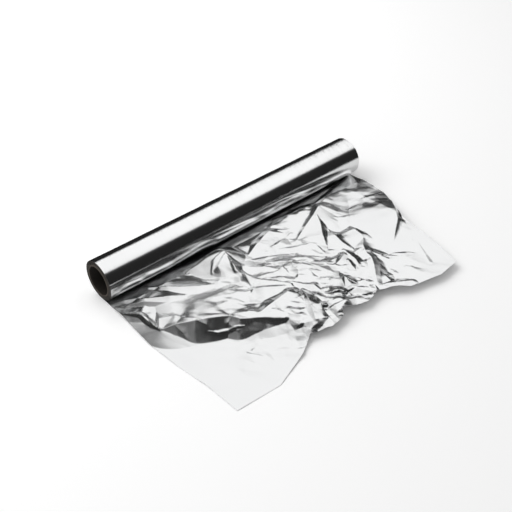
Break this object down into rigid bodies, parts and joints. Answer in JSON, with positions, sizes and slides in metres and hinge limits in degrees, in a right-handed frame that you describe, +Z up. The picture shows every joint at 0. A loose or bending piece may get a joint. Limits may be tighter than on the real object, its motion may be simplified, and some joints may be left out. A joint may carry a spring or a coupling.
{
  "type": "aluminium foil roll",
  "caption": "Roll of kitchen aluminium foil wound on a card core, lying with a crumpled length of the sheet pulled out from under it.",
  "frame": {"origin": "centre of the core's bore, midway along it", "axes": "+X along the roll's axis, -Y the way the loose sheet runs out, +Z up"},
  "size_m": [0.3031, 0.1969, 0.0379],
  "materials": {
    "cardboard": "bare grey-brown wound board",
    "foil": "bright rolled outer side, satin inner side"
  },
  "bodies": {
    "root": {"core_tube": "cardboard", "foil": "foil"}
  },
  "joints": []
}
